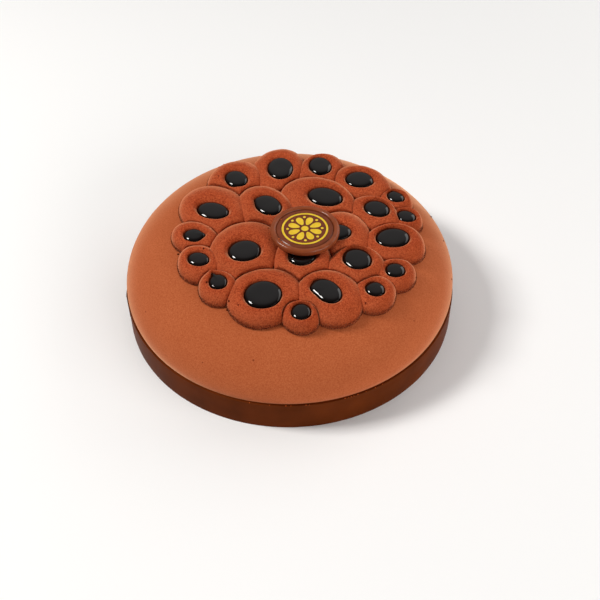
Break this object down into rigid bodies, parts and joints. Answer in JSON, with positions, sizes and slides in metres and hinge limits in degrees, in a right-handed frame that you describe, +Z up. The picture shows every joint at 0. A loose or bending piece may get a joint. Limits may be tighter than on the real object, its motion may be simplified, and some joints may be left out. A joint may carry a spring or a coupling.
{
  "type": "mousse cake",
  "caption": "Round mousse cake: a velvety dome in a dark chocolate strip, its top covered by piped mounds that hold pools of dark glaze, under a chocolate medallion.",
  "frame": {"origin": "on the floor at the centre of the cake's round foot, the middle of the bounding box's bottom face", "axes": "+Z up through the dome; -Y towards the front, the side that shows its chocolate strip in the picture; +X to the right seen from the front"},
  "size_m": [0.1804, 0.1804, 0.0655],
  "materials": {
    "dome_velvet": "matt velvet of sprayed cocoa butter, light reddish brown",
    "mound_velvet": "matt velvet of sprayed cocoa butter, deeper reddish brown",
    "dark_glaze": "mirror gloss, nearly black",
    "dark_chocolate": "smooth satin dark chocolate",
    "milk_chocolate": "moulded milk chocolate with a soft gloss and a yellow printed ornament"
  },
  "bodies": {
    "root": {"mousse_cake": "dome_velvet", "chocolate_strip": "dark_chocolate", "mound_outer_01": "mound_velvet", "glaze_outer_01": "dark_glaze", "mound_outer_02": "mound_velvet", "glaze_outer_02": "dark_glaze", "mound_outer_03": "mound_velvet", "glaze_outer_03": "dark_glaze", "mound_outer_04": "mound_velvet", "glaze_outer_04": "dark_glaze", "mound_outer_05": "mound_velvet", "glaze_outer_05": "dark_glaze", "mound_outer_06": "mound_velvet", "glaze_outer_06": "dark_glaze", "mound_outer_07": "mound_velvet", "glaze_outer_07": "dark_glaze", "mound_outer_08": "mound_velvet", "glaze_outer_08": "dark_glaze", "mound_outer_09": "mound_velvet", "glaze_outer_09": "dark_glaze", "mound_outer_10": "mound_velvet", "glaze_outer_10": "dark_glaze", "mound_outer_11": "mound_velvet", "glaze_outer_11": "dark_glaze", "mound_outer_12": "mound_velvet", "glaze_outer_12": "dark_glaze", "mound_outer_13": "mound_velvet", "glaze_outer_13": "dark_glaze", "mound_outer_14": "mound_velvet", "glaze_outer_14": "dark_glaze", "mound_outer_15": "mound_velvet", "glaze_outer_15": "dark_glaze", "mound_outer_16": "mound_velvet", "glaze_outer_16": "dark_glaze", "mound_inner_01": "mound_velvet", "glaze_inner_01": "dark_glaze", "mound_inner_02": "mound_velvet", "glaze_inner_02": "dark_glaze", "mound_inner_03": "mound_velvet", "glaze_inner_03": "dark_glaze", "mound_inner_04": "mound_velvet", "glaze_inner_04": "dark_glaze", "mound_inner_05": "mound_velvet", "glaze_inner_05": "dark_glaze", "mound_inner_06": "mound_velvet", "glaze_inner_06": "dark_glaze", "mound_inner_07": "mound_velvet", "glaze_inner_07": "dark_glaze", "chocolate_medallion": "milk_chocolate"}
  },
  "joints": []
}
